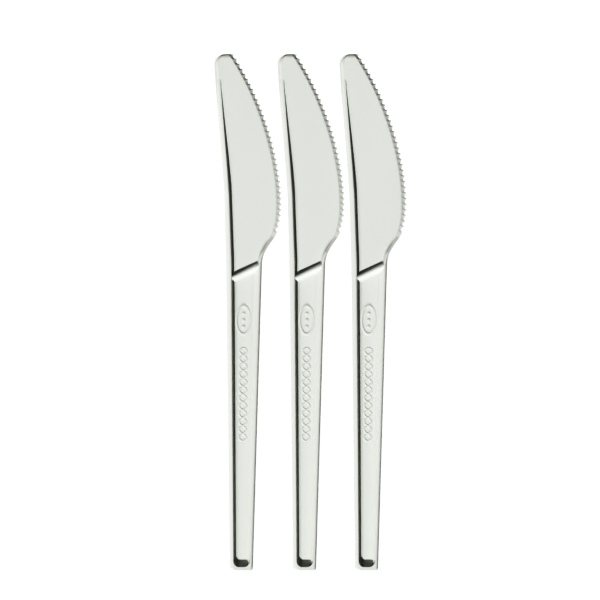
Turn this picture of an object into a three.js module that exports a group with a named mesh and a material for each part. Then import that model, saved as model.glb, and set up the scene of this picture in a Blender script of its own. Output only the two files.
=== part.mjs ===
// A pack of three disposable plastic knives, lying side by side with their tips towards +Y.
//
// Each knife is one moulding. A raised rim frames a recessed panel in the handle, and runs on
// along the back of the blade as a rib that thins out towards the tip. A slanting ridge parts the
// handle's panel from the blade. The cutting edge is bevelled and toothed from heel to tip.
// The underside mirrors the upper side. Millimetres, +Z up, resting on z = 0.
import * as THREE from 'three';

// The set
const knifeNames = ['knife_left', 'knife_middle', 'knife_right'];
const knifeGaps = [1.85, 1.45]; // clear distances from one knife's belly to the next one's back

// The handle, from its flat end to the neck
const handleLength = 97.5;
const handleEndWidth = 7.3;
const handleHeadWidth = 11.4;
const handleLeanDegrees = 0.5; // the handle's middle line leans towards the cutting side
const handleEndRadius = 1.3;

// The blade, from the neck to the tip
const bladeLength = 67.5;
const bladeWidth = 18.3; // across the belly, from the back to the teeth
const bellyRise = 20; // from the neck to the widest place
const heelRise = 10.8; // from the neck to the first tooth
const heelInset = 1.5; // the first tooth lies this much inside the widest place
const backStraight = 21.5; // the back runs straight this far past the neck
const backFlare = 0.57; // and moves outwards this much on the way
const backSweep = 3.34; // then it sweeps outwards this much more, up to the tip
const tipWidth = 6.35;
const tipRadius = 3.3;

// How the outline's curves bend: two points, as shares of the way along x and y
const backBends = [[0.14, 0.26], [0.83, 0.67]]; // the back, from its straight part to the tip
const neckBends = [[0, 0.5], [0.77, 0.7]];
const heelBends = [[0.5, 0.2], [1, 0.5]]; // the teeth, from the heel to the widest place
const edgeBends = [[0, 0.22], [0.245, 0.63]]; // and from there to the tip

// Thicknesses
const rimThickness = 4;
const webThickness = 1.4; // the handle's panel and the flat of the blade
const heelEdgeThickness = 0.9; // the cutting edge, at its first tooth
const tipEdgeThickness = 0.6; // and at the tip

// The rim and the recess inside it
const rimRound = 0.7;
const endBackFoot = 1.6; // from the back to the foot of its rim's inner wall, at the end
const neckBackFoot = 2.2; // the same at the neck
const tipBackFoot = 1.7; // and at the tip
const backWallWidth = 0.7;
const cuttingCrest = 1.2; // from the cutting side to the inner end of its rim's top
const endCuttingFoot = 1.9; // and to the foot of that rim's inner wall, at the handle's end
const neckCuttingFoot = 2.6; // the same at the neck
const rimSinkLength = 35; // the cutting side's rim sinks over this length, up to the ridge
const neckRimShare = 0.6; // share of its height above the panel that it keeps there
const endCrest = 1.5; // from the handle's flat end to the inner end of the rim's top
const endFoot = 3.8; // and to the foot of its inner slope
const ribSinkRise = 25; // from the neck to where the rib along the blade's back starts to sink
const ribSinkLength = 34.5;
const narrowestWall = 0.3; // share of its width that the rib's inner wall keeps as it sinks

// The ridge between the handle's panel and the blade
const ridgeRise = 0.5; // from the neck to the ridge, at the cutting side
const ridgeSlant = 5.2; // the ridge lies this much further up at the cutting side
const ridgeSlope = 1.8; // run of the ridge's gentle side, towards the handle
const ridgeCrest = 0.3;
const ridgeWall = 1.25; // run of its steep side, towards the blade
const rimRunOn = 3.6; // the cutting side's rim runs on this far past the ridge
const runOnFoot = 1.7; // from the cutting side to the foot of the rim's inner wall there
const ridgeFade = 5; // and then it turns into the bevel over this length
const slantReach = 18; // cross-sections turn square again within this length of the ridge

// The cutting edge
const neckBevel = 1.3; // width of the bevel at the neck
const bellyBevel = 1.6;
const tipBevel = 1.45;
const toothCount = 33;
const toothDepth = 0.7;
const notchShare = 0.3; // each notch is deepest this share of the way to the next tooth
const bevelLanes = [1, 0.8, 0.5]; // places of three lanes, as shares of the way up the bevel

// Where the cross-sections are cut, as shares of the way
const cornerCuts = [0, 0.35, 0.7, 1]; // round the corners of the handle's end
const approachCuts = [0.35, 0.6, 0.8]; // from where the cuts start to slant to the ridge
const neckCuts = [0, 0.25, 0.5, 0.75]; // from the end of the cutting side's rim to the heel
const laneRoom = 0.9; // share of the width that the lanes beside both sides may take up

const plastic = new THREE.MeshStandardMaterial({ color: '#e2e3de', roughness: 0.28, metalness: 0 });

const { clamp, lerp, degToRad } = THREE.MathUtils;
const point = (x, y) => new THREE.Vector2(x, y);

const knifeLength = handleLength + bladeLength;
const midHeight = rimThickness / 2;
const rimHalf = rimThickness / 2;
const webHalf = webThickness / 2;
const ridgeY = handleLength + ridgeRise;
const heelY = handleLength + heelRise;
const lean = Math.tan(degToRad(handleLeanDegrees));

// Landmarks of the outline
const endLeft = point(-handleEndWidth / 2, 0);
const endRight = point(handleEndWidth / 2, 0);
const neckLeft = point(lean * handleLength - handleHeadWidth / 2, handleLength);
const neckRight = point(lean * handleLength + handleHeadWidth / 2, handleLength);
const backBend = point(neckLeft.x - backFlare, handleLength + backStraight);
const backTop = point(backBend.x - backSweep, knifeLength);
const belly = point(backBend.x + bladeWidth, handleLength + bellyRise);
const heel = point(belly.x - heelInset, heelY);
const tip = point(backTop.x + tipWidth, knifeLength);

/** A point that lies the given shares of the way from one point to another, along x and y. */
function between(from, to, [shareX, shareY]) {
  return point(lerp(from.x, to.x, shareX), lerp(from.y, to.y, shareY));
}

/** A curve from one point to another, with the given bends. */
function curve(from, to, [first, second]) {
  const start = between(from, to, first);
  const end = between(from, to, second);
  return new THREE.CubicBezierCurve(from, start, end, to);
}

/** The back: straight along the handle and past the neck, then a slow sweep out to the tip. */
function backPath() {
  const path = new THREE.CurvePath();
  path.add(new THREE.LineCurve(endLeft, neckLeft));
  path.add(new THREE.LineCurve(neckLeft, backBend));
  path.add(curve(backBend, backTop, backBends));
  return path;
}

/** The cutting side below the teeth: straight along the handle, then a hollow neck to the heel. */
function handlePath() {
  const path = new THREE.CurvePath();
  path.add(new THREE.LineCurve(endRight, neckRight));
  path.add(curve(neckRight, heel, neckBends));
  return path;
}

/** The line that the tooth tips lie on: round the belly and up to the tip. */
function toothPath() {
  const path = new THREE.CurvePath();
  path.add(curve(heel, belly, heelBends));
  path.add(curve(belly, tip, edgeBends));
  return path;
}

/** Finds where a rising line of points crosses a height y, and its slope x per y there. */
function crossing(points, y) {
  const last = points.length - 1;
  const found = points.findIndex((candidate) => candidate.y >= y);
  const upper = clamp(found < 0 ? last : found, 1, last);
  const below = points[upper - 1];
  const above = points[upper];
  const slope = (above.x - below.x) / (above.y - below.y);
  return { x: below.x + slope * (y - below.y), slope };
}

const outlineSteps = 120;
const backLine = backPath().getPoints(outlineSteps);
const cuttingLine = [
  ...handlePath().getPoints(outlineSteps),
  ...toothPath().getPoints(outlineSteps).slice(1),
];

/** How far a round corner of the given radius has drawn in, at a distance from the end. */
function cornerInset(radius, distance) {
  const inside = clamp(radius - distance, 0, radius);
  return radius - Math.sqrt(radius * radius - inside * inside);
}

/** The back's x at y, with its round corners at the handle's end and at the tip. */
function backX(y) {
  const corner = cornerInset(handleEndRadius, y) + cornerInset(tipRadius, knifeLength - y);
  return crossing(backLine, y).x + corner;
}

/** The cutting side's x at y, with its round corner at the handle's end. */
function cuttingX(y) {
  return crossing(cuttingLine, y).x - cornerInset(handleEndRadius, y);
}

/** Share of the way from start to end, kept between 0 and 1. */
function share(value, start, end) {
  return clamp((value - start) / (end - start), 0, 1);
}

/** 1 where the recess is at full depth, 0 where the handle's end or the ridge fills it. */
function recessAt(y) {
  if (y < ridgeY) {
    const slopeEnd = ridgeY - ridgeCrest;
    return Math.min(share(y, endCrest, endFoot), 1 - share(y, slopeEnd - ridgeSlope, slopeEnd));
  }
  return share(y, ridgeY, ridgeY + ridgeWall);
}

/** Height of the back's rim above the panel, as a share: the blade's rib sinks to its flat. */
function ribAt(y) {
  const sinkStart = handleLength + ribSinkRise;
  return 1 - share(y, sinkStart, sinkStart + ribSinkLength);
}

/** Height of the cutting side's rim above the panel, as a share: it sinks towards the ridge. */
function rimAt(y) {
  return lerp(1, neckRimShare, share(y, ridgeY - rimSinkLength, ridgeY));
}

/** 0 along the cutting side's rim, 1 along the cutting edge, whose bevel takes over from it. */
function bladeAt(y) {
  return share(y, ridgeY + rimRunOn, ridgeY + rimRunOn + ridgeFade);
}

/** Half the thickness that the knife's edge keeps at y: it thins out from the heel to the tip. */
function edgeHalfAt(y) {
  return lerp(heelEdgeThickness, tipEdgeThickness, share(y, heelY, knifeLength)) / 2;
}

/** Insets of the lanes beside the back: the outer rounding and the inner wall. */
function backInsets(y) {
  const onHandle = lerp(endBackFoot, neckBackFoot, share(y, 0, handleLength));
  const foot = lerp(onHandle, tipBackFoot, share(y, handleLength, knifeLength));
  const width = backWallWidth * Math.max(ribAt(y), narrowestWall);
  return [0, rimRound, foot - width, foot];
}

/** Insets of the lanes beside the cutting side: a rim on the handle, a bevel on the blade. */
function cuttingInsets(y) {
  const onHandle = lerp(endCuttingFoot, neckCuttingFoot, share(y, 0, handleLength));
  const foot = lerp(onHandle, runOnFoot, share(y, ridgeY, ridgeY + ridgeWall));
  const lowerBevel = lerp(neckBevel, bellyBevel, share(y, heelY, belly.y));
  const bevel = lerp(lowerBevel, tipBevel, share(y, belly.y, knifeLength));
  const rim = [foot, cuttingCrest, rimRound];
  return rim.map((inset, lane) => lerp(inset, bevel * bevelLanes[lane], bladeAt(y)));
}

/**
 * Half thicknesses of the lanes from the back to the cutting side, at a cross-section.
 * Where the recess is filled, its surface runs straight from one rim's top to the other's.
 */
function laneHalves(backY, y, across) {
  const backHalf = lerp(webHalf, rimHalf, ribAt(backY));
  const cuttingHalf = lerp(webHalf, rimHalf, rimAt(y));
  const edgeHalf = edgeHalfAt(y);
  const blade = bladeAt(y);
  const recess = recessAt(y);
  const panelAt = (lane) => lerp(lerp(backHalf, cuttingHalf, across[lane]), webHalf, recess);
  const sideAt = (lane) => lerp(cuttingHalf, lerp(edgeHalf, webHalf, bevelLanes[lane]), blade);
  const backEdge = backHalf - Math.min(rimRound, backHalf - edgeHalf);
  const cuttingEdge = lerp(cuttingHalf - rimRound, edgeHalf, blade);
  const endDrop = Math.max(0, rimRound - y);
  const inner = [backHalf, backHalf, panelAt(3), panelAt(4), panelAt(5), sideAt(1), sideAt(2)];
  return [backEdge, ...inner.map((half) => half - endDrop), cuttingEdge];
}

/**
 * One cross-section as points with a half thickness, from the back to the cutting side.
 * It meets the cutting side at y, and lies further down on the back near the ridge.
 * A notch draws the cutting edge in by the depth of a tooth.
 */
function crossSection({ y, notch = 0 }) {
  const near = 1 - THREE.MathUtils.smoothstep(Math.abs(y - ridgeY), 0, slantReach);
  const backY = y - ridgeSlant * near;
  const left = backX(backY);
  const right = cuttingX(y);
  const width = right - left;
  const slope = crossing(cuttingLine, y).slope;
  const stretch = Math.hypot(1, slope);

  const fromBack = backInsets(backY);
  const fromCutting = cuttingInsets(y);
  const fit = Math.min(1, (laneRoom * width) / (fromBack[3] + fromCutting[0] * stretch));
  const backLanes = fromBack.map((inset) => left + inset * fit);
  const cuttingLanes = fromCutting.map((inset) => right - inset * stretch * fit);
  const middle = (backLanes[3] + cuttingLanes[0]) / 2;
  const lanes = [...backLanes, middle, ...cuttingLanes, right];
  const across = lanes.map((x) => (x - left) / width);
  const halves = laneHalves(backY, y, across);
  const points = lanes.map((x, lane) => {
    return { x, y: lerp(backY, y, across[lane]), half: halves[lane] };
  });
  const edge = points[points.length - 1];
  edge.x -= notch / stretch;
  edge.y += (notch * slope) / stretch;
  return points;
}

/** Cross-sections at the handle's end, along the handle and over the ridge, up to the heel. */
function handleStations() {
  const corner = cornerCuts.map((way) => handleEndRadius * (1 - Math.cos((way * Math.PI) / 2)));
  const slopeEnd = ridgeY - ridgeCrest;
  const slopeStart = slopeEnd - ridgeSlope;
  const along = [endCrest, endFoot, handleLength / 2, ridgeY - rimSinkLength, ridgeY - slantReach];
  const approach = approachCuts.map((way) => lerp(ridgeY - slantReach, slopeStart, way));
  const ridge = [slopeStart, slopeEnd, ridgeY, ridgeY + ridgeWall];
  const neck = neckCuts.map((way) => lerp(ridgeY + rimRunOn, heelY, way));
  return [...corner, ...along, ...approach, ...ridge, ...neck].map((y) => ({ y }));
}

/** Cross-sections at every tooth tip and every notch between two teeth, and at the knife's tip. */
function toothStations() {
  const path = toothPath();
  const heightAt = (turn) => path.getPoint(turn / toothCount).y;
  const teeth = Array.from({ length: toothCount }, (_, tooth) => [
    { y: heightAt(tooth) },
    { y: heightAt(tooth + notchShare), notch: toothDepth },
  ]);
  return [...teeth.flat(), { y: knifeLength }];
}

/** Joins the cross-sections into one closed skin, mirrored top to bottom. */
function knifeGeometry() {
  const sections = [...handleStations(), ...toothStations()].map(crossSection);
  const lanes = sections[0].length;
  const ringSize = 2 * lanes;
  const positions = [];
  const triangles = [];
  const addQuad = (a, b, c, d) => triangles.push(a, b, c, a, c, d);

  for (const section of sections) {
    for (const { x, y, half } of section) {
      positions.push(x, y, midHeight + half);
    }
    for (const { x, y, half } of [...section].reverse()) {
      positions.push(x, y, midHeight - half);
    }
  }
  for (let station = 0; station < sections.length - 1; station += 1) {
    const ring = station * ringSize;
    for (let side = 0; side < ringSize; side += 1) {
      const next = (side + 1) % ringSize;
      addQuad(ring + side, ring + next, ring + ringSize + next, ring + ringSize + side);
    }
  }
  const lastRing = (sections.length - 1) * ringSize;
  for (let lane = 0; lane < lanes - 1; lane += 1) {
    const under = ringSize - 1 - lane;
    addQuad(lane, under, under - 1, lane + 1);
    addQuad(lastRing + lane, lastRing + lane + 1, lastRing + under - 1, lastRing + under);
  }

  const geometry = new THREE.BufferGeometry();
  geometry.setAttribute('position', new THREE.Float32BufferAttribute(positions, 3));
  geometry.setIndex(triangles);
  geometry.computeVertexNormals();
  return geometry;
}

/** Lays the knives side by side, centred over the origin. */
function cutleryPack() {
  const group = new THREE.Group();
  let place = 0;
  for (const [index, name] of knifeNames.entries()) {
    const knife = new THREE.Mesh(knifeGeometry(), plastic);
    knife.name = name;
    knife.position.x = place;
    place += bladeWidth + (knifeGaps[index] ?? 0);
    group.add(knife);
  }
  const centre = new THREE.Box3().setFromObject(group).getCenter(new THREE.Vector3());
  for (const knife of group.children) {
    knife.position.x -= centre.x;
    knife.position.y -= centre.y;
  }
  return group;
}

const pack = cutleryPack();

export default pack;
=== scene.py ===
"""Studio picture of a pack of three moulded plastic knives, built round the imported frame.

Each knife is rebuilt as one fine moulding over its solid: the same outline, rims, recesses, ridge,
rib and teeth, with the soft edges of a mould and a low ornament on the handle. Sizes of the knife
are in millimetres, and everything that reaches Blender is in metres.
"""

from __future__ import annotations

import logging
import math
from dataclasses import dataclass, field
from enum import Enum
from typing import Any

import bpy
import numpy as np
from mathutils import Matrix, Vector


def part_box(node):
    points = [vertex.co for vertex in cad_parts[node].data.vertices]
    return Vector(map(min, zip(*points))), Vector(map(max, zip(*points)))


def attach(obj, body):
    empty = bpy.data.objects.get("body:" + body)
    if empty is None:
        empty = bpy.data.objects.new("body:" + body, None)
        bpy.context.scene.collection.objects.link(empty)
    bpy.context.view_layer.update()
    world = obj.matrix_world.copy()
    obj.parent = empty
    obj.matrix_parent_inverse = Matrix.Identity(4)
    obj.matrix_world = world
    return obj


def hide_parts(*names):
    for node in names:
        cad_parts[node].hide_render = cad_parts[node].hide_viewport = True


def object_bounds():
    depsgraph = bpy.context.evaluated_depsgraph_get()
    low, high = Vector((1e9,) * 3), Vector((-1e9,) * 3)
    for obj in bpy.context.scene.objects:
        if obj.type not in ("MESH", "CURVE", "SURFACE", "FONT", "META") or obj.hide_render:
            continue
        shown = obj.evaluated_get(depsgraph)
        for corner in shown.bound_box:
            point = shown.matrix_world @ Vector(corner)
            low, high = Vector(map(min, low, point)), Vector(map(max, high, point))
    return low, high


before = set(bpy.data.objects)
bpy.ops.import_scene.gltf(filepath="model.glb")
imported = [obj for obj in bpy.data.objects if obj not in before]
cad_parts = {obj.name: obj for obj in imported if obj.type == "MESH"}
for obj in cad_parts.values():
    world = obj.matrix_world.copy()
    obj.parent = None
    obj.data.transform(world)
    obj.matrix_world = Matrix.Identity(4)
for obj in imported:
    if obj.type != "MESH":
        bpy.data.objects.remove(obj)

LOG = logging.getLogger("cutlery_pack")
CAD_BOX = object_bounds()
MM = 0.001

# Where the lanes by a side end their round edge, their crest and their inner wall.
EDGE_TURN = 1.0
CREST_TURN = 2.0
WALL_TURN = 3.0

# How far to each side of a place the outline's slope is measured, in millimetres.
SLOPE_STEP = 0.25

# The middle value of a noise texture, and the Mix node's sockets for colours.
NOISE_MIDDLE = 0.5
MIX_LOW_COLOUR = 6
MIX_HIGH_COLOUR = 7
MIX_RESULT_COLOUR = 2

# The tone curve that acts on all the colour channels together.
ALL_CHANNELS = 3

Array = np.ndarray
Point = tuple[float, float]
Bends = tuple[Point, Point]
Colour = tuple[float, float, float, float]


def share(value: Array | float, start: float, end: float) -> Array:
    """Give the share of the way from start to end, kept between 0 and 1.

    Args:
        value: The places to measure.
        start: Where the share is 0.
        end: Where the share is 1.

    Returns:
        The share at each place.
    """
    return np.clip((np.asarray(value) - start) / (end - start), 0.0, 1.0)


def ease(value: Array | float, start: float, end: float) -> Array:
    """Give the share of the way from start to end with a soft start and a soft stop.

    Args:
        value: The places to measure.
        start: Where the share is 0.
        end: Where the share is 1.

    Returns:
        The eased share at each place.
    """
    way = share(value, start, end)
    return way * way * (3.0 - 2.0 * way)


def blend(low: Array | float, high: Array | float, way: Array | float) -> Array:
    """Mix two values by a share, 0 giving the first and 1 the second."""
    return low + (high - low) * way


def soft_larger(first: Array, second: Array) -> Array:
    """Give the larger of two values that are 0 or more, a little raised where they are close."""
    return np.cbrt(first**3 + second**3)


def corner_inset(radius: float, distance: Array | float) -> Array:
    """Tell how far a round corner has drawn in, at a distance from the end.

    Args:
        radius: The corner's radius.
        distance: The distances from the end.

    Returns:
        How far the outline lies inside the straight side.
    """
    inside = np.clip(radius - np.asarray(distance), 0.0, radius)
    return radius - np.sqrt(radius**2 - inside**2)


def curve(start: Point, end: Point, bends: Bends, steps: int = 160) -> Array:
    """Sample a cubic curve.

    Args:
        start: Where it starts.
        end: Where it ends.
        bends: Its two control points, as shares of the way from start to end along x and y.
        steps: How many pieces it is cut into.

    Returns:
        The sampled points, one a row.
    """
    head, tail = np.array(start), np.array(end)
    first, second = (blend(head, tail, np.array(bend)) for bend in bends)
    way = np.linspace(0.0, 1.0, steps + 1)[:, None]
    rest = 1.0 - way
    return rest**3 * head + 3 * rest**2 * way * first + 3 * rest * way**2 * second + way**3 * tail


def run(start: float, end: float, steps: int, crowding: float = 1.0) -> Array:
    """Lay out places after start, up to and with end.

    Args:
        start: Where the run starts, which isn't one of its places.
        end: Its last place.
        steps: How many places it has.
        crowding: How closely they crowd towards the start, with 1 for even steps.

    Returns:
        The places.
    """
    way = np.linspace(0.0, 1.0, steps + 1)[1:] ** crowding
    return start * (1.0 - way) + end * way


def closed_faces(stations: int, lanes: int) -> Array:
    """Join the points of a flat tube into four-cornered faces, with both of its ends closed.

    Args:
        stations: How many cross-sections the tube has.
        lanes: How many points the upper half of a cross-section has, and the lower half too.

    Returns:
        The faces, one a row.
    """
    ring = 2 * lanes
    side = np.arange(ring)
    following = (side + 1) % ring
    start = np.arange(stations - 1)[:, None] * ring
    corners = (start + side, start + following, start + ring + following, start + ring + side)
    walls = np.stack(corners, axis=-1).reshape(-1, 4)
    lane = np.arange(lanes - 1)
    under = ring - 1 - lane
    first_cap = np.stack([lane, under, under - 1, lane + 1], axis=-1)
    last_cap = np.stack([lane, lane + 1, under - 1, under], axis=-1) + (stations - 1) * ring
    return np.concatenate([walls, first_cap, last_cap])


@dataclass(frozen=True)
class HandleSizes:
    """Sizes of the handle, from its flat end to the neck."""

    length: float = 97.5
    end_width: float = 7.3
    head_width: float = 11.4
    lean_degrees: float = 0.5
    end_radius: float = 1.3

    @property
    def lean(self) -> float:
        """Give how far the handle's middle line moves sideways on each millimetre along it."""
        return math.tan(math.radians(self.lean_degrees))


@dataclass(frozen=True)
class BladeSizes:
    """Sizes of the blade, from the neck to the tip.

    A rise is measured up from the neck. The bends are the control points of the outline's curves.
    A notch is deepest at notch_share of the way along its tooth, and a curve is the power that
    gives the bevel its form.
    """

    length: float = 67.5
    width: float = 18.3
    belly_rise: float = 20.0
    heel_rise: float = 10.8
    heel_inset: float = 1.5
    back_straight: float = 21.5
    back_flare: float = 0.57
    back_sweep: float = 3.34
    back_bends: Bends = ((0.14, 0.26), (0.83, 0.67))
    neck_bends: Bends = ((0.0, 0.5), (0.77, 0.7))
    heel_bends: Bends = ((0.5, 0.2), (1.0, 0.5))
    edge_bends: Bends = ((0.0, 0.22), (0.245, 0.63))
    tip_width: float = 6.35
    tip_radius: float = 3.3
    tip_square: float = 5.0
    neck_bevel: float = 1.3
    belly_bevel: float = 1.6
    tip_bevel: float = 1.45
    neck_bevel_curve: float = 0.8
    tip_bevel_curve: float = 1.25
    tooth_count: int = 33
    tooth_depth: float = 0.7
    notch_share: float = 0.3
    notch_fullness: float = 0.85


@dataclass(frozen=True)
class ReliefSizes:
    """Sizes of the rims, the recesses, the ridge and the round edges.

    A crest is the flat top of a rim and a foot is where its inner wall ends, both measured inwards.
    A curve is the power that gives a slope its form.
    """

    web_thickness: float = 1.4
    heel_edge: float = 0.9
    tip_edge: float = 0.6
    rim_round: float = 0.7
    back_round: float = 1.4
    back_round_depth: float = 0.85
    back_round_curve: float = 1.6
    cutting_round: float = 0.65
    tip_round: float = 1.3
    rim_round_end: float = 20.0
    tip_round_start: float = 140.0
    end_back_foot: float = 1.6
    neck_back_foot: float = 2.2
    tip_back_foot: float = 1.7
    back_wall_width: float = 1.0
    wall_curve: float = 4.2
    wall_fillet: float = 1.3
    wall_fillet_share: float = 0.12
    narrowest_wall: float = 0.3
    cutting_crest: float = 0.9
    end_cutting_foot: float = 1.9
    neck_cutting_foot: float = 2.6
    cutting_wall_curve: float = 1.4
    rim_sink_length: float = 35.0
    neck_rim_share: float = 0.6
    end_crest: float = 1.5
    end_foot: float = 3.8
    end_corner: float = 2.3
    rib_sink_rise: float = 25.0
    rib_sink_length: float = 34.5
    rib_sink_curve: float = 0.8
    ridge_rise: float = 0.5
    ridge_slant: float = 5.2
    ridge_slope: float = 1.8
    ridge_slope_curve: float = 1.7
    ridge_crest: float = 0.3
    ridge_wall: float = 1.4
    ridge_curve: float = 2.0
    rim_run_on: float = 3.6
    run_on_foot: float = 1.7
    ridge_fade: float = 5.0
    slant_reach: float = 18.0
    panel_dish: float = 0.06


@dataclass(frozen=True)
class OrnamentSizes:
    """Sizes of the low ornament on the handle: an oval ring with dots, and a twisted rope."""

    height: float = 0.11
    soft_edge: float = 0.22
    ring_centre: float = 80.2
    ring_half_width: float = 2.2
    ring_half_length: float = 4.5
    ring_line: float = 0.4
    dot_radius: float = 0.48
    dot_step: float = 2.1
    rope_start: float = 41.5
    rope_turn: float = 5.0
    rope_turns: int = 6
    rope_half_width: float = 1.15
    rope_line: float = 0.36


@dataclass(frozen=True)
class SkinSteps:
    """How finely the skin is cut: cross-sections along each stretch of the knife, lanes across it.

    A room is how far, in millimetres, a finely cut stretch reaches past the shape that needs it.
    The lanes by both sides fill no more of the knife's width than the share widest_sides.
    """

    end_crest: int = 14
    end_slope: int = 19
    lower_handle: int = 15
    ornament: int = 239
    upper_handle: int = 13
    ridge_slope: int = 17
    ridge_crest: int = 2
    ridge_wall: int = 30
    neck: int = 13
    a_tooth: int = 8
    end_crowding: float = 1.5
    wall_crowding: float = 1.4
    foot_room: float = 0.2
    rope_room: float = 0.72
    ring_room: float = 0.9
    slope_room: float = 0.6
    edge_lanes: int = 6
    crest_turns: tuple[float, ...] = (1.33, 1.67, CREST_TURN)
    wall_lanes: int = 11
    panel_lanes: int = 28
    widest_sides: float = 0.92


class Outline:
    """The knife seen from above, given as x against y for its back and its cutting side."""

    def __init__(self, handle: HandleSizes, blade: BladeSizes) -> None:
        """Work out both sides from the sizes.

        Args:
            handle: Sizes of the handle.
            blade: Sizes of the blade.
        """
        self.handle = handle
        self.blade = blade
        self.length = handle.length + blade.length
        neck_x, neck_y = handle.lean * handle.length, handle.length
        end_left = (-handle.end_width / 2, 0.0)
        end_right = (handle.end_width / 2, 0.0)
        neck_left = (neck_x - handle.head_width / 2, neck_y)
        neck_right = (neck_x + handle.head_width / 2, neck_y)
        back_bend = (neck_left[0] - blade.back_flare, neck_y + blade.back_straight)
        back_top = (back_bend[0] - blade.back_sweep, self.length)
        belly = (back_bend[0] + blade.width, neck_y + blade.belly_rise)
        heel = (belly[0] - blade.heel_inset, neck_y + blade.heel_rise)
        tip = (back_top[0] + blade.tip_width, self.length)
        self.heel_y = heel[1]
        self.belly_y = belly[1]

        sweep = curve(back_bend, back_top, blade.back_bends)
        neck = curve(neck_right, heel, blade.neck_bends)
        lower_teeth = curve(heel, belly, blade.heel_bends)
        upper_teeth = curve(belly, tip, blade.edge_bends)
        self.back_line = np.vstack([[end_left, neck_left], sweep])
        self.tooth_line = np.vstack([lower_teeth, upper_teeth[1:]])
        self.cutting_line = np.vstack([[end_right], neck[:-1], self.tooth_line])
        steps = np.hypot(*np.diff(self.tooth_line, axis=0).T)
        self.tooth_way = np.concatenate([[0.0], np.cumsum(steps)]) / steps.sum()

    def back_x(self, y: Array) -> Array:
        """Follow the back, with its round corners at the handle's end and at the tip.

        Args:
            y: The places along the knife.

        Returns:
            The back's x at each place.
        """
        corners = corner_inset(self.handle.end_radius, y)
        corners = corners + corner_inset(self.blade.tip_radius, self.length - y)
        return np.interp(y, self.back_line[:, 1], self.back_line[:, 0]) + corners

    def cutting_x(self, y: Array) -> Array:
        """Give the x of the line that the tooth tips lie on, and of the handle's side below it."""
        straight = np.interp(y, self.cutting_line[:, 1], self.cutting_line[:, 0])
        return straight - corner_inset(self.handle.end_radius, y)

    def cutting_slope(self, y: Array) -> Array:
        """Measure how fast the cutting side's x changes along y.

        Args:
            y: The places along the knife.

        Returns:
            The change of x on each millimetre along y.
        """
        ahead = np.interp(y + SLOPE_STEP, self.cutting_line[:, 1], self.cutting_line[:, 0])
        behind = np.interp(y - SLOPE_STEP, self.cutting_line[:, 1], self.cutting_line[:, 0])
        reach = np.minimum(y + SLOPE_STEP, self.length) - np.maximum(y - SLOPE_STEP, 0.0)
        return (ahead - behind) / reach

    def notch(self, y: Array) -> Array:
        """Cut the skewed notches between the teeth.

        Args:
            y: The places along the knife.

        Returns:
            How far the cutting edge is drawn in at each place.
        """
        turn = np.interp(y, self.tooth_line[:, 1], self.tooth_way) * self.blade.tooth_count
        skew = math.log(0.5) / math.log(self.blade.notch_share)
        wave = np.abs(np.sin(np.pi * (turn % 1.0) ** skew)) ** self.blade.notch_fullness
        return self.blade.tooth_depth * wave * (y >= self.heel_y)

    def tooth_stations(self, steps_a_tooth: int) -> Array:
        """Give the y of evenly spaced places along the teeth."""
        way = np.linspace(0.0, 1.0, self.blade.tooth_count * steps_a_tooth + 1)
        return np.interp(way, self.tooth_way, self.tooth_line[:, 1])


@dataclass(frozen=True)
class Lattice:
    """Where a knife's points lie seen from above, as stations along it by lanes across it.

    A point's station is the y at which its cross-section meets the cutting side, and its back
    station is where that meets the back. The way up the bevel is 0 at the edge and 1 on the flat.
    """

    x: Array
    y: Array
    station: Array
    back_station: Array
    from_back: Array
    from_cutting: Array
    bevel_way: Array


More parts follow.
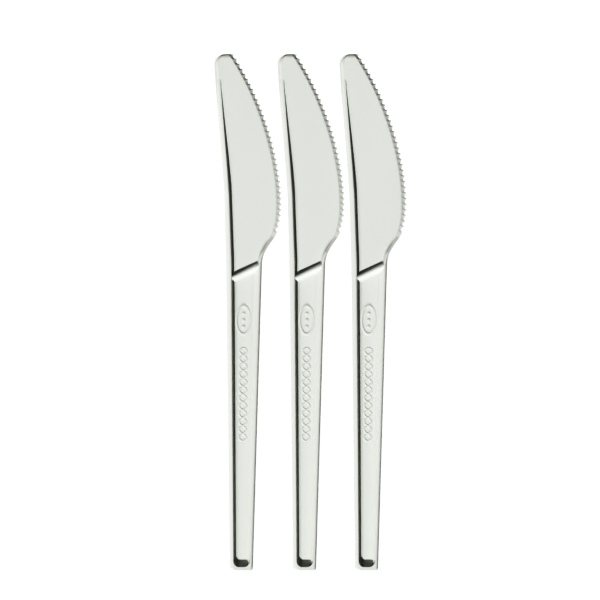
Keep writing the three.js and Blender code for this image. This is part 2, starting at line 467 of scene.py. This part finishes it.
@dataclass
class KnifeForm:
    """The skin of one knife, as a grid of stations along it and lanes across it."""

    thickness: float
    handle: HandleSizes = field(default_factory=HandleSizes)
    blade: BladeSizes = field(default_factory=BladeSizes)
    relief: ReliefSizes = field(default_factory=ReliefSizes)
    ornament: OrnamentSizes = field(default_factory=OrnamentSizes)
    steps: SkinSteps = field(default_factory=SkinSteps)

    def __post_init__(self) -> None:
        """Work out the outline and the heights that several methods use."""
        self.outline = Outline(self.handle, self.blade)
        self.rim_half = self.thickness / 2
        self.web_half = self.relief.web_thickness / 2
        self.ridge_y = self.handle.length + self.relief.ridge_rise

    def stations(self) -> Array:
        """Lay out the cross-sections, closest where the form changes most.

        Returns:
            The y at which each of them meets the cutting side.
        """
        steps, relief, ornament = self.steps, self.relief, self.ornament
        end_foot = relief.end_foot + steps.foot_room
        rope_end = ornament.rope_start - steps.rope_room
        ring_end = ornament.ring_centre + ornament.ring_half_length + steps.ring_room
        slope_foot = self.ridge_y - relief.ridge_slope - steps.slope_room
        slope_top = self.ridge_y - relief.ridge_crest
        wall_foot = self.ridge_y + relief.rim_run_on + relief.ridge_fade
        stretches = [
            [0.0],
            run(0.0, relief.end_crest, steps.end_crest, steps.end_crowding),
            run(relief.end_crest, end_foot, steps.end_slope),
            run(end_foot, rope_end, steps.lower_handle),
            run(rope_end, ring_end, steps.ornament),
            run(ring_end, slope_foot, steps.upper_handle),
            run(slope_foot, slope_top, steps.ridge_slope),
            run(slope_top, self.ridge_y, steps.ridge_crest),
            run(self.ridge_y, wall_foot, steps.ridge_wall, steps.wall_crowding),
            run(wall_foot, self.outline.heel_y, steps.neck),
            self.outline.tooth_stations(steps.a_tooth)[1:],
        ]
        return np.concatenate(stretches)

    def lane_turns(self) -> Array:
        """Number the lanes by a side, from its edge inwards.

        Returns:
            For each lane a number that grows to EDGE_TURN round the edge, from there to CREST_TURN
            over the crest, and to WALL_TURN down the inner wall.
        """
        edge_turns = EDGE_TURN - np.cos(np.linspace(0.0, np.pi / 2, self.steps.edge_lanes + 1))
        wall_turns = run(CREST_TURN, WALL_TURN, self.steps.wall_lanes)
        return np.concatenate([edge_turns, self.steps.crest_turns, wall_turns])

    def lane_insets(self, wall_start: Array | float, wall_end: Array) -> Array:
        """Place the lanes by a side, from the outline inwards.

        Args:
            wall_start: The inset of the top of the inner wall, a station a row.
            wall_end: The inset of its foot.

        Returns:
            The inset of every lane at every station.
        """
        lane = self.lane_turns()[None, :]
        edge = self.relief.rim_round * np.minimum(lane, EDGE_TURN)
        crest = (wall_start - self.relief.rim_round) * share(lane, EDGE_TURN, CREST_TURN)
        wall = (wall_end - wall_start) * share(lane, CREST_TURN, WALL_TURN)
        return edge + crest + wall

    def rib_share(self, y: Array) -> Array:
        """Sink the back's rim along the blade.

        Args:
            y: The places along the back.

        Returns:
            The rim's height above the panel, as a share of its height on the handle.
        """
        relief = self.relief
        sink_start = self.handle.length + relief.rib_sink_rise
        way = share(y, sink_start, sink_start + relief.rib_sink_length)
        return (1.0 - way) ** relief.rib_sink_curve

    def blade_share(self, y: Array) -> Array:
        """Give 0 along the cutting side's rim and 1 along the cutting edge, past the ridge."""
        start = self.ridge_y + self.relief.rim_run_on
        return share(y, start, start + self.relief.ridge_fade)

    def back_wall(self, y: Array) -> tuple[Array, Array]:
        """Place the inner wall of the back's rim.

        Args:
            y: The places along the back.

        Returns:
            The insets of the wall's top and of its foot.
        """
        relief = self.relief
        knots = [0.0, self.handle.length, self.outline.length]
        insets = [relief.end_back_foot, relief.neck_back_foot, relief.tip_back_foot]
        width = relief.back_wall_width * np.maximum(self.rib_share(y), relief.narrowest_wall)
        foot = np.interp(y, knots, insets)
        return foot - width, foot

    def cutting_foot(self, y: Array) -> Array:
        """Place the foot of the cutting side's rim.

        Args:
            y: The places along the cutting side.

        Returns:
            The foot's inset at each place.
        """
        relief = self.relief
        way = share(y, 0.0, self.handle.length)
        on_handle = blend(relief.end_cutting_foot, relief.neck_cutting_foot, way)
        past_ridge = share(y, self.ridge_y, self.ridge_y + relief.ridge_wall)
        return blend(on_handle, relief.run_on_foot, past_ridge)

    def bevel_size(self, y: Array) -> Array:
        """Size the bevel along the cutting edge.

        Args:
            y: The places along the cutting side.

        Returns:
            The bevel's width at each place.
        """
        blade = self.blade
        knots = [self.outline.heel_y, self.outline.belly_y, self.outline.length]
        return np.interp(y, knots, [blade.neck_bevel, blade.belly_bevel, blade.tip_bevel])

    def edge_half(self, y: Array) -> Array:
        """Give half the thickness that the knife's edge keeps at y."""
        knots = [self.outline.heel_y, self.outline.length]
        return np.interp(y, knots, [self.relief.heel_edge / 2, self.relief.tip_edge / 2])

    def lattice(self) -> Lattice:
        """Lay out the lanes over the stations.

        Returns:
            The points seen from above, with their distances from both sides.
        """
        relief, outline = self.relief, self.outline
        y = self.stations()[:, None]
        near = 1.0 - ease(np.abs(y - self.ridge_y), 0.0, relief.slant_reach)
        back_y = y - relief.ridge_slant * near
        left, right = outline.back_x(back_y), outline.cutting_x(y)
        width = right - left
        slope = outline.cutting_slope(y)
        stretch = np.hypot(1.0, slope)
        square = ease(outline.length - y, 0.0, self.blade.tip_square)
        lean_x = blend(stretch, 1.0 / stretch, square)
        lean_y = slope / stretch * square

        back = self.lane_insets(*self.back_wall(back_y))
        rim = self.lane_insets(relief.cutting_crest, self.cutting_foot(y))
        bevel_way = self.lane_turns()[None, :] / WALL_TURN
        bevel = blend(outline.notch(y), self.bevel_size(y), bevel_way)
        cutting = blend(rim, bevel, self.blade_share(y))
        sides = back[:, -1:] + cutting[:, -1:] * lean_x
        fit = np.minimum(1.0, self.steps.widest_sides * width / sides)

        back_lanes = left + back * fit
        cutting_lanes = (right - cutting * lean_x * fit)[:, ::-1]
        panel_way = np.linspace(0.0, 1.0, self.steps.panel_lanes + 2)[1:-1][None, :]
        panel = blend(back_lanes[:, -1:], cutting_lanes[:, :1], panel_way)
        x = np.hstack([back_lanes, panel, cutting_lanes])
        across = (np.minimum(x, right) - left) / width
        side_lanes = bevel_way.size
        lift = cutting[:, ::-1] * lean_y * fit
        fade = (x[:, :-side_lanes] - left) / (cutting_lanes[:, :1] - left)
        lift = np.hstack([lift[:, :1] * fade, lift])
        on_flat = np.ones((y.size, x.shape[1] - side_lanes))
        return Lattice(
            x=x,
            y=blend(back_y, y, across) + lift,
            station=y,
            back_station=back_y,
            from_back=(x - left) / fit,
            from_cutting=(right - x) / lean_x / fit,
            bevel_way=np.hstack([on_flat, np.repeat(bevel_way[:, ::-1], y.size, axis=0)]),
        )

    def back_rim(self, at: Lattice, corner: Array) -> Array:
        """Raise the rim along the back, which thins out to a rib on the blade.

        Args:
            at: The points seen from above.
            corner: How far the recess's round corner draws the rim in.

        Returns:
            The height at each point, as a share of the highest.
        """
        relief = self.relief
        wall_start, wall_end = self.back_wall(at.back_station)
        from_back = at.from_back - corner
        wall = 1.0 - share(from_back, wall_start, wall_end) ** relief.wall_curve
        fillet = 1.0 - share(from_back, wall_end, wall_end + relief.wall_fillet)
        rim = np.maximum(wall, relief.wall_fillet_share * fillet**2)
        return rim * self.rib_share(at.back_station)

    def cutting_rim(self, at: Lattice, corner: Array, top: Array) -> Array:
        """Raise the rim along the handle's cutting side, which runs on a little past the ridge.

        Args:
            at: The points seen from above.
            corner: How far the recess's round corner draws the rim in.
            top: The height of the rim's crest.

        Returns:
            The height at each point, as a share of the highest.
        """
        relief = self.relief
        way = share(at.from_cutting - corner, relief.cutting_crest, self.cutting_foot(at.station))
        wall = (1.0 - way) ** relief.cutting_wall_curve
        return top * (1.0 - self.blade_share(at.station)) * wall

    def ridge(self, at: Lattice, rim_top: Array) -> Array:
        """Raise the slanting ridge between the handle's panel and the blade.

        Args:
            at: The points seen from above.
            rim_top: The height of the cutting side's rim, from which the ridge climbs to the back.

        Returns:
            The height at each point, as a share of the highest.
        """
        relief = self.relief
        slope_top = self.ridge_y - relief.ridge_crest
        slope_way = share(at.station, slope_top - relief.ridge_slope, slope_top)
        slope = slope_way**relief.ridge_slope_curve
        wall_way = share(at.station, self.ridge_y, self.ridge_y + relief.ridge_wall)
        wall = 1.0 - wall_way**relief.ridge_curve
        inside = np.maximum(at.from_cutting - relief.cutting_crest, 0.0)
        top = blend(rim_top, 1.0, inside / (inside + at.from_back))
        return np.where(at.station < self.ridge_y, slope, wall) * top

    def relief_height(self, at: Lattice) -> Array:
        """Put together the rims, the ridge and the wall at the handle's end.

        Args:
            at: The points seen from above.

        Returns:
            The height above the panel and the blade's flat, as a share of the highest.
        """
        relief = self.relief
        corner = corner_inset(relief.end_corner, np.maximum(at.station - relief.end_crest, 0.0))
        sink = share(at.station, self.ridge_y - relief.rim_sink_length, self.ridge_y)
        rim_top = blend(1.0, relief.neck_rim_share, sink)
        end = 1.0 - share(at.station, relief.end_crest, relief.end_foot)
        rims = np.maximum(self.back_rim(at, corner), self.cutting_rim(at, corner, rim_top))
        return np.maximum(rims, np.maximum(self.ridge(at, rim_top), end))

    def rounding(self, at: Lattice) -> Array:
        """Round the edges: widely along the back, closely on the cutting side and at both ends.

        Args:
            at: The points seen from above.

        Returns:
            How far the surface lies below a sharp edge's.
        """
        relief = self.relief
        rim_top = blend(self.web_half, self.rim_half, self.rib_share(at.back_station))
        room = rim_top - self.edge_half(at.station)
        back_out = np.clip(1.0 - at.from_back / relief.back_round, 0.0, 1.0)
        back_drop = relief.back_round_depth * back_out**relief.back_round_curve

        round_way = share(at.y, relief.rim_round_end, relief.tip_round_start)
        end_size = blend(relief.rim_round, relief.tip_round, round_way)
        from_end = np.minimum(at.y, self.outline.length - at.y)
        end_out = np.clip(1.0 - from_end / end_size, 0.0, 1.0)
        cutting_out = np.clip(1.0 - at.from_cutting / relief.cutting_round, 0.0, 1.0)
        cutting_out = cutting_out * (1.0 - self.blade_share(at.station))
        other_out = np.minimum(1.0, np.hypot(cutting_out, end_out))
        other_depth = np.minimum(relief.rim_round, room)
        other_drop = other_depth * (1.0 - np.sqrt(1.0 - other_out**2))
        return np.minimum(room, soft_larger(back_drop, other_drop))

    def bevel_drop(self, at: Lattice) -> Array:
        """Slope the bevel down to the cutting edge.

        Args:
            at: The points seen from above.

        Returns:
            How far the surface lies below the blade's flat.
        """
        curve_way = share(at.station, self.outline.heel_y, self.outline.length)
        power = blend(self.blade.neck_bevel_curve, self.blade.tip_bevel_curve, curve_way)
        depth = self.web_half - self.edge_half(at.station)
        return depth * (1.0 - at.bevel_way) ** power * self.blade_share(at.station)

    def half_heights(self, at: Lattice) -> tuple[Array, Array]:
        """Work out how thick the knife is on each side of its middle plane.

        Args:
            at: The points seen from above.

        Returns:
            The half height of the upper side and of the plain underside.
        """
        height = self.relief_height(at)
        half = blend(self.web_half, self.rim_half, height)
        half = half - self.rounding(at) - self.bevel_drop(at)
        plain = np.maximum(self.edge_half(at.station), half)

        on_panel = np.where(at.station < self.ridge_y, 1.0 - height, 0.0)
        from_middle = at.x - self.handle.lean * at.y
        half_width = (self.outline.cutting_x(at.y) - self.outline.back_x(at.y)) / 2
        half_panel = half_width - self.relief.cutting_crest
        dish = np.clip(1.0 - (from_middle / half_panel) ** 2, 0.0, 1.0)
        plain = plain - self.relief.panel_dish * half_panel * dish * on_panel
        raised = self.ornament_height(from_middle, at.y) * on_panel
        return plain + raised, plain

    def ornament_height(self, x: Array, y: Array) -> Array:
        """Give the height of the ornament above the handle's panel.

        Args:
            x: The distance from the handle's middle line.
            y: The distance from the handle's flat end.

        Returns:
            The height at each point.
        """
        sizes = self.ornament
        along = y - sizes.ring_centre
        oval = np.hypot(x / sizes.ring_half_width, along / sizes.ring_half_length)
        outside = [np.abs(oval - 1.0) * sizes.ring_half_width - sizes.ring_line / 2]
        for place in (-1, 0, 1):
            outside.append(np.hypot(x, along - place * sizes.dot_step) - sizes.dot_radius)

        turn = 2.0 * np.pi / sizes.rope_turn
        way = (y - sizes.rope_start) * turn
        half_length = sizes.rope_turns * sizes.rope_turn / 2
        beyond_ends = np.abs(y - sizes.rope_start - half_length) - half_length
        stretch = np.hypot(1.0, sizes.rope_half_width * turn * np.cos(way))
        for side in (-1, 1):
            strand = np.abs(x - side * sizes.rope_half_width * np.sin(way)) / stretch
            outside.append(np.maximum(strand - sizes.rope_line / 2, beyond_ends))
        nearest = np.minimum.reduce(outside)
        return sizes.height * (1.0 - ease(nearest, -sizes.soft_edge / 2, sizes.soft_edge / 2))

    def skin(self) -> tuple[Array, Array]:
        """Close the grid into one skin.

        Returns:
            The points in millimetres and the four-cornered faces.
        """
        at = self.lattice()
        upper, lower = self.half_heights(at)
        middle = self.thickness / 2
        top = np.dstack([at.x, at.y, middle + upper])
        bottom = np.dstack([at.x, at.y, middle - lower])[:, ::-1]
        points = np.concatenate([top, bottom], axis=1).reshape(-1, 3)
        return points, closed_faces(*at.x.shape)


class Value:
    """A shader socket that Python's operators work on, each adding its Math node."""

    def __init__(self, graph: Graph, socket: Any) -> None:
        """Keep the socket and the graph that it belongs to."""
        self.graph = graph
        self.socket = socket

    def _math(self, operation: str, first: Operand, second: Operand) -> Value:
        """Add a Math node for two operands and give its result."""
        node = self.graph.node("ShaderNodeMath", {"operation": operation}, {0: first, 1: second})
        return Value(self.graph, node.outputs[0])

    def __add__(self, other: Operand) -> Value:
        """Add another value."""
        return self._math("ADD", self, other)

    def __sub__(self, other: Operand) -> Value:
        """Subtract another value."""
        return self._math("SUBTRACT", self, other)

    def __rsub__(self, other: Operand) -> Value:
        """Subtract from another value."""
        return self._math("SUBTRACT", other, self)

    def __mul__(self, other: Operand) -> Value:
        """Multiply by another value."""
        return self._math("MULTIPLY", self, other)

    __radd__ = __add__
    __rmul__ = __mul__


Operand = Value | float


@dataclass(frozen=True)
class Pattern:
    """A noise texture's waves in a metre, its finer layers, and how strong those are."""

    scale: float
    detail: float
    strength: float = 0.5


class Graph:
    """A node tree of a material or of the surroundings, filled by one method."""

    def __init__(self, tree: bpy.types.NodeTree) -> None:
        """Empty the tree and keep it."""
        self.tree = tree
        self.tree.nodes.clear()

    def node(
        self, kind: str, settings: dict[str, Any] | None = None, inputs: dict[Any, Any] | None = None
    ) -> bpy.types.Node:
        """Add one node.

        Args:
            kind: The node's type.
            settings: Its own settings, set before its sockets.
            inputs: Plain values, Value objects or output sockets, by input name or index.

        Returns:
            The new node.
        """
        node = self.tree.nodes.new(kind)
        for name, setting in (settings or {}).items():
            setattr(node, name, setting)
        for name, value in (inputs or {}).items():
            source = value.socket if isinstance(value, Value) else value
            if isinstance(source, bpy.types.NodeSocket):
                self.tree.links.new(source, node.inputs[name])
            else:
                node.inputs[name].default_value = source
        return node

    def noise(self, coordinates: bpy.types.NodeSocket, pattern: Pattern) -> Value:
        """Add a noise texture.

        Args:
            coordinates: The socket that holds the place.
            pattern: The texture's own numbers.

        Returns:
            The noise, about 0 to 1.
        """
        numbers = {"Scale": pattern.scale, "Detail": pattern.detail, "Roughness": pattern.strength}
        texture = self.node("ShaderNodeTexNoise", {}, {"Vector": coordinates, **numbers})
        return Value(self, texture.outputs["Fac"])

    def mix(self, way: Value, low: Colour, high: Colour) -> bpy.types.NodeSocket:
        """Mix two colours.

        Args:
            way: The share of the second colour.
            low: The colour where that is 0.
            high: The colour where it is 1.

        Returns:
            The socket that holds the mixed colour.
        """
        inputs = {"Factor": way, MIX_LOW_COLOUR: low, MIX_HIGH_COLOUR: high}
        node = self.node("ShaderNodeMix", {"data_type": "RGBA"}, inputs)
        return node.outputs[MIX_RESULT_COLOUR]


@dataclass(frozen=True)
class MouldedPlastic:
    """Glossy pale plastic straight from a mould, with clouds, flow marks along it and fine grain."""

    light: Colour = (0.805, 0.82, 0.782, 1.0)
    deep: Colour = (0.775, 0.79, 0.75, 1.0)
    clouds: Pattern = Pattern(60.0, 3.0)
    flow: Pattern = Pattern(220.0, 4.0, 0.6)
    grain: Pattern = Pattern(1400.0, 3.0, 0.55)
    flow_stretch: float = 0.12
    clouds_in_tint: float = 0.6
    flow_in_tint: float = 0.4
    roughness: float = 0.22
    flow_in_roughness: float = 0.1
    grain_in_roughness: float = 0.05
    bump_height: float = 0.000004
    bump_strength: float = 0.5
    flow_in_bump: float = 1.5
    refraction: float = 1.46

    def build(self, name: str) -> bpy.types.Material:
        """Make the material.

        Args:
            name: The material's name.

        Returns:
            The new material.
        """
        material = bpy.data.materials.new(name)
        material.use_nodes = True
        graph = Graph(material.node_tree)
        place = graph.node("ShaderNodeTexCoord").outputs["Object"]
        drawn_out = {"Vector": place, "Scale": (1.0, self.flow_stretch, 1.0)}
        flow_place = graph.node("ShaderNodeMapping", {}, drawn_out).outputs["Vector"]
        clouds = graph.noise(place, self.clouds)
        flow = graph.noise(flow_place, self.flow)
        grain = graph.noise(place, self.grain)

        way = clouds * self.clouds_in_tint + flow * self.flow_in_tint
        flow_gloss = (flow - NOISE_MIDDLE) * self.flow_in_roughness
        grain_gloss = (grain - NOISE_MIDDLE) * self.grain_in_roughness
        bump = {
            "Strength": self.bump_strength,
            "Distance": self.bump_height,
            "Height": grain + flow * self.flow_in_bump,
        }
        surface = {
            "Base Color": graph.mix(way, self.deep, self.light),
            "Roughness": self.roughness + flow_gloss + grain_gloss,
            "Normal": graph.node("ShaderNodeBump", {}, bump).outputs["Normal"],
            "IOR": self.refraction,
        }
        shader = graph.node("ShaderNodeBsdfPrincipled", {}, surface)
        graph.node("ShaderNodeOutputMaterial", {}, {"Surface": shader.outputs["BSDF"]})
        return material


@dataclass(frozen=True)
class LightTable:
    """The pale floor, which glows a little so that it stays white."""

    size: float = 12.0
    gap: float = 0.00005
    body: Colour = (0.06, 0.06, 0.06, 1.0)
    colour: Colour = (0.9, 0.9, 0.9, 1.0)
    glow: float = 1.12
    gloss: float = 0.1
    grain: Pattern = Pattern(25.0, 2.0)
    lowest_roughness: float = 0.6
    roughness_spread: float = 0.1

    def build(self, under: float) -> bpy.types.Object:
        """Make the floor.

        Args:
            under: The height that the object rests on.

        Returns:
            The floor object.
        """
        half = self.size / 2
        height = under - self.gap
        corners = [(-half, -half), (half, -half), (half, half), (-half, half)]
        mesh = bpy.data.meshes.new("floor")
        mesh.from_pydata([(x, y, height) for x, y in corners], [], [(0, 1, 2, 3)])
        floor = bpy.data.objects.new("floor", mesh)
        bpy.context.collection.objects.link(floor)
        self.dress(floor)
        return floor

    def dress(self, floor: bpy.types.Object) -> None:
        """Give the floor its finish.

        Args:
            floor: The floor object.
        """
        material = bpy.data.materials.new("pale_floor")
        material.use_nodes = True
        graph = Graph(material.node_tree)
        place = graph.node("ShaderNodeTexCoord").outputs["Object"]
        grain = graph.noise(place, self.grain)
        surface = {
            "Base Color": self.body,
            "Roughness": grain * self.roughness_spread + self.lowest_roughness,
            "Specular IOR Level": self.gloss,
            "Emission Color": self.colour,
            "Emission Strength": self.glow,
        }
        shader = graph.node("ShaderNodeBsdfPrincipled", {}, surface)
        graph.node("ShaderNodeOutputMaterial", {}, {"Surface": shader.outputs["BSDF"]})
        floor.data.materials.append(material)


class LampKind(Enum):
    """The kinds of lamp in the studio."""

    SUN = "SUN"
    PANEL = "AREA"


@dataclass(frozen=True)
class Lamp:
    """One lamp: where its light comes from, how strong and how soft it is.

    The azimuth is in degrees clockwise from the tips' side. A sun's softness is the angle that its
    disc fills, in degrees, and a panel's is the length of its sides.
    """

    name: str
    kind: LampKind
    azimuth: float
    elevation: float
    power: float
    softness: float
    distance: float = 1.5

    def build(self, target: Vector) -> bpy.types.Object:
        """Hang the lamp, aimed at the target.

        Args:
            target: The point that it lights.

        Returns:
            The lamp object.
        """
        around, up = math.radians(self.azimuth), math.radians(self.elevation)
        level = math.cos(up)
        towards = Vector((level * math.sin(around), level * math.cos(around), math.sin(up)))
        data = bpy.data.lights.new(self.name, self.kind.value)
        data.energy = self.power
        if self.kind is LampKind.SUN:
            data.angle = math.radians(self.softness)
        else:
            data.shape = "SQUARE"
            data.size = self.softness
        lamp = bpy.data.objects.new(self.name, data)
        lamp.location = target + towards * self.distance
        lamp.rotation_euler = towards.to_track_quat("Z", "Y").to_euler()
        bpy.context.collection.objects.link(lamp)
        return lamp


@dataclass(frozen=True)
class Studio:
    """Floor, lamps, surroundings, camera and tone."""

    frame_width: float = 0.1911
    frame_shift: Point = (-0.00339, 0.0041)
    lens: float = 250.0
    sensor: float = 36.0
    nearest: float = 0.01
    farthest: float = 50.0
    ambient: float = 0.02
    backdrop: float = 1.0
    tone: tuple[Point, ...] = ((0.195, 0.043), (0.37, 0.2), (0.76, 0.76))
    lamps: tuple[Lamp, ...] = (
        Lamp("key_lamp", LampKind.SUN, azimuth=205.5, elevation=33.0, power=4.28, softness=2.5),
        Lamp("top_panel", LampKind.PANEL, 0.0, 90.0, power=4.7, softness=0.7, distance=2.0),
    )

    def build(self) -> None:
        """Set up everything round the object."""
        low, high = (Vector(corner) for corner in CAD_BOX)
        centre = (low + high) / 2
        LightTable().build(low.z)
        for lamp in self.lamps:
            lamp.build(centre)
        self._surroundings()
        self._camera(centre, high.z)
        self._tone()

    def _surroundings(self) -> None:
        """Give the room its low light, and a pale backdrop where the camera looks past the floor."""
        world = bpy.data.worlds.new("studio")
        world.use_nodes = True
        graph = Graph(world.node_tree)
        seen = Value(graph, graph.node("ShaderNodeLightPath").outputs["Is Camera Ray"])
        strength = seen * self.backdrop + (1.0 - seen) * self.ambient
        background = graph.node("ShaderNodeBackground", {}, {"Strength": strength})
        graph.node("ShaderNodeOutputWorld", {}, {"Surface": background.outputs["Background"]})
        bpy.context.scene.world = world

    def _camera(self, centre: Vector, top: float) -> None:
        """Hang the camera straight above the object.

        Args:
            centre: The object's centre.
            top: The object's highest point.
        """
        data = bpy.data.cameras.new("camera")
        data.lens = self.lens
        data.sensor_width = self.sensor
        data.clip_start = self.nearest
        data.clip_end = self.farthest
        camera = bpy.data.objects.new("camera", data)
        distance = self.frame_width * self.lens / self.sensor
        shift = Vector((*self.frame_shift, 0.0))
        camera.location = Vector((centre.x, centre.y, top + distance)) + shift
        bpy.context.collection.objects.link(camera)
        bpy.context.scene.camera = camera

    def _tone(self) -> None:
        """Give the picture the firm contrast of a product photograph."""
        settings = bpy.context.scene.view_settings
        settings.view_transform = "Standard"
        settings.use_curve_mapping = True
        tone_curve = settings.curve_mapping.curves[ALL_CHANNELS]
        for level, shown in self.tone:
            tone_curve.points.new(level, shown)
        settings.curve_mapping.update()


@dataclass
class Knife:
    """One knife of the set, placed where its solid is."""

    node: str
    piece_name: str
    sharp_degrees: float = 42.0

    def build(self) -> bpy.types.Object:
        """Build the knife's mesh over its solid.

        Returns:
            The knife object.
        """
        low, high = (Vector(corner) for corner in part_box(self.node))
        form = KnifeForm(thickness=(high.z - low.z) / MM)
        points, faces = form.skin()
        place = np.array([low.x - points[:, 0].min() * MM, low.y, low.z])
        mesh = bpy.data.meshes.new(self.piece_name)
        mesh.from_pydata((points * MM + place).tolist(), [], faces.tolist())
        mesh.validate()
        mesh.shade_smooth()
        mesh.set_sharp_from_angle(angle=math.radians(self.sharp_degrees))
        knife = bpy.data.objects.new(self.piece_name, mesh)
        bpy.context.collection.objects.link(knife)
        return knife

    def dress(self, knife: bpy.types.Object, material: bpy.types.Material) -> None:
        """Give the knife its finish, hide its solid and hang the knife under the root body.

        Args:
            knife: The knife object.
            material: The plastic.
        """
        knife.data.materials.append(material)
        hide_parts(self.node)
        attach(knife, "root")


def main() -> None:
    """Build the knives and the studio, and log each knife's face count."""
    plastic = MouldedPlastic().build("moulded_plastic")
    for side in ("left", "middle", "right"):
        knife = Knife(f"knife_{side}", f"{side}_knife_moulding")
        piece = knife.build()
        knife.dress(piece, plastic)
        LOG.info("%s: %d faces", piece.name, len(piece.data.polygons))
    Studio().build()


if __name__ == "__main__":
    logging.basicConfig(level=logging.INFO)
    main()
